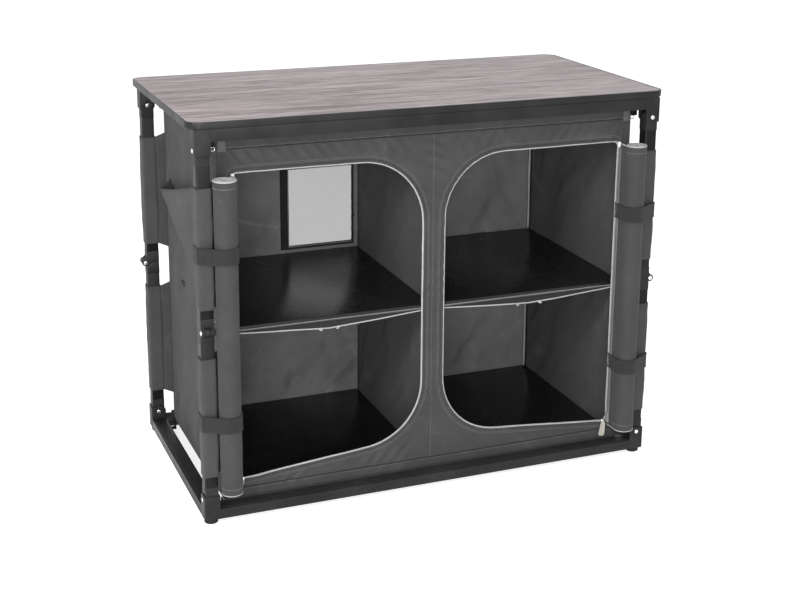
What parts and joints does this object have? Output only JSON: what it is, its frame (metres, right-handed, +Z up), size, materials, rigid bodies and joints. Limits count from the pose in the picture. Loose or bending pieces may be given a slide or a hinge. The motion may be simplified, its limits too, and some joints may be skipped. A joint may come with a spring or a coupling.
{
  "type": "folding camping kitchen box",
  "caption": "Folding camp kitchen cabinet: a worktop on a knee-folding tube frame, with a hanging cloth cabinet of stiff shelves, rolled-up doors and a side pocket.",
  "frame": {"origin": "on the floor, under the middle of the whole outline", "axes": "+X along the worktop to the right as seen from the doors, +Y from the doors to the back, +Z up"},
  "size_m": [1, 0.5422, 0.8],
  "materials": {
    "laminate": "matt grey-brown laminate",
    "edge_plastic": "matt",
    "frame_tube": "dark powder coat",
    "black_plastic": "fine matt grain",
    "foot_rubber": "matt",
    "bright_steel": "satin",
    "board_plastic": "satin",
    "grey_cloth": "coated weave",
    "mesh_cloth": "fine net",
    "strap_cloth": "webbing",
    "zip_tape": "woven tape"
  },
  "bodies": {
    "bottom_frame": {"bottom_long_rails": "frame_tube", "bottom_short_rails": "frame_tube", "bottom_corner_blocks": "black_plastic", "foot_pads": "foot_rubber", "bottom_rivets": "bright_steel", "bottom_board_left": "board_plastic", "bottom_board_right": "board_plastic", "floor_cloth": "grey_cloth", "front_cloth": "grey_cloth", "rear_cloth": "grey_cloth", "left_cloth": "grey_cloth", "right_cloth": "grey_cloth", "partition_cloth": "grey_cloth", "window_panel": "mesh_cloth", "side_pocket": "grey_cloth", "door_rolls": "grey_cloth", "door_straps": "strap_cloth", "leg_sleeves": "grey_cloth", "shelf_slings": "grey_cloth", "zip_tapes": "zip_tape", "zip_sliders": "bright_steel", "bottom_hooks": "black_plastic"},
    "lower_leg_front_left": {"lower_leg_front_left": "frame_tube", "lower_knee_front_left": "black_plastic", "lower_plug_front_left": "black_plastic", "knee_pin_front_left": "bright_steel"},
    "upper_leg_front_left": {"upper_leg_front_left": "frame_tube", "upper_knee_front_left": "black_plastic", "upper_plug_front_left": "black_plastic"},
    "lower_leg_front_right": {"lower_leg_front_right": "frame_tube", "lower_knee_front_right": "black_plastic", "lower_plug_front_right": "black_plastic", "knee_pin_front_right": "bright_steel"},
    "upper_leg_front_right": {"upper_leg_front_right": "frame_tube", "upper_knee_front_right": "black_plastic", "upper_plug_front_right": "black_plastic"},
    "lower_leg_rear_right": {"lower_leg_rear_right": "frame_tube", "lower_knee_rear_right": "black_plastic", "lower_plug_rear_right": "black_plastic", "knee_pin_rear_right": "bright_steel"},
    "upper_leg_rear_right": {"upper_leg_rear_right": "frame_tube", "upper_knee_rear_right": "black_plastic", "upper_plug_rear_right": "black_plastic"},
    "lower_leg_rear_left": {"lower_leg_rear_left": "frame_tube", "lower_knee_rear_left": "black_plastic", "lower_plug_rear_left": "black_plastic", "knee_pin_rear_left": "bright_steel"},
    "upper_leg_rear_left": {"upper_leg_rear_left": "frame_tube", "upper_knee_rear_left": "black_plastic", "upper_plug_rear_left": "black_plastic"},
    "top_frame": {"top_long_rails": "frame_tube", "top_short_rails": "frame_tube", "top_corner_blocks": "black_plastic", "top_rivets": "bright_steel", "top_hooks": "black_plastic"},
    "worktop": {"worktop_board": "laminate", "worktop_edge_band": "edge_plastic", "worktop_cleats": "black_plastic"},
    "mid_boards": {"mid_board_left": "board_plastic", "mid_board_right": "board_plastic"}
  },
  "joints": [
    {"name": "fold", "type": "hinge", "parent": "bottom_frame", "child": "lower_leg_front_left", "pos_m": [-0.472, -0.22635, 0.049], "axis": [-1, 0, 0], "range_deg": [0, 90], "deforming": ["front_cloth", "rear_cloth", "left_cloth", "right_cloth", "partition_cloth", "window_panel", "side_pocket", "door_rolls", "door_straps", "leg_sleeves", "shelf_slings", "zip_tapes", "zip_sliders"]},
    {"name": "knee_fold_front_left", "type": "hinge", "parent": "lower_leg_front_left", "child": "upper_leg_front_left", "pos_m": [-0.472, -0.24235, 0.397], "axis": [-1, 0, 0], "range_deg": [-180, 0]},
    {"name": "lower_fold_front_right", "type": "hinge", "parent": "bottom_frame", "child": "lower_leg_front_right", "pos_m": [0.472, -0.22635, 0.049], "axis": [0, -1, 0], "range_deg": [0, 90]},
    {"name": "knee_fold_front_right", "type": "hinge", "parent": "lower_leg_front_right", "child": "upper_leg_front_right", "pos_m": [0.488, -0.22635, 0.397], "axis": [0, -1, 0], "range_deg": [-180, 0]},
    {"name": "lower_fold_rear_right", "type": "hinge", "parent": "bottom_frame", "child": "lower_leg_rear_right", "pos_m": [0.472, 0.24765, 0.049], "axis": [1, 0, 0], "range_deg": [0, 90]},
    {"name": "knee_fold_rear_right", "type": "hinge", "parent": "lower_leg_rear_right", "child": "upper_leg_rear_right", "pos_m": [0.472, 0.26365, 0.397], "axis": [1, 0, 0], "range_deg": [-180, 0]},
    {"name": "lower_fold_rear_left", "type": "hinge", "parent": "bottom_frame", "child": "lower_leg_rear_left", "pos_m": [-0.472, 0.24765, 0.049], "axis": [0, 1, 0], "range_deg": [0, 90]},
    {"name": "knee_fold_rear_left", "type": "hinge", "parent": "lower_leg_rear_left", "child": "upper_leg_rear_left", "pos_m": [-0.488, 0.24765, 0.397], "axis": [0, 1, 0], "range_deg": [-180, 0]},
    {"name": "top_level", "type": "hinge", "parent": "upper_leg_front_left", "child": "top_frame", "pos_m": [-0.472, -0.22635, 0.745], "axis": [-1, 0, 0], "range_deg": [0, 90]},
    {"name": "shelf_drop", "type": "slide", "parent": "top_frame", "child": "mid_boards", "axis": [0, 0, 1], "range_m": [0, 0.336]},
    {"name": "worktop_lift", "type": "slide", "parent": "top_frame", "child": "worktop", "axis": [0, 0, 1], "range_m": [0, 0.1]}
  ],
  "couplings": [
    {"joint": "knee_fold_front_left", "follows": "fold", "ratio": -2},
    {"joint": "lower_fold_front_right", "follows": "fold", "ratio": 1},
    {"joint": "knee_fold_front_right", "follows": "fold", "ratio": -2},
    {"joint": "lower_fold_rear_right", "follows": "fold", "ratio": 1},
    {"joint": "knee_fold_rear_right", "follows": "fold", "ratio": -2},
    {"joint": "lower_fold_rear_left", "follows": "fold", "ratio": 1},
    {"joint": "knee_fold_rear_left", "follows": "fold", "ratio": -2},
    {"joint": "top_level", "follows": "fold", "ratio": 1},
    {"joint": "shelf_drop", "follows": "fold", "m_per_rad": 0.2139}
  ]
}
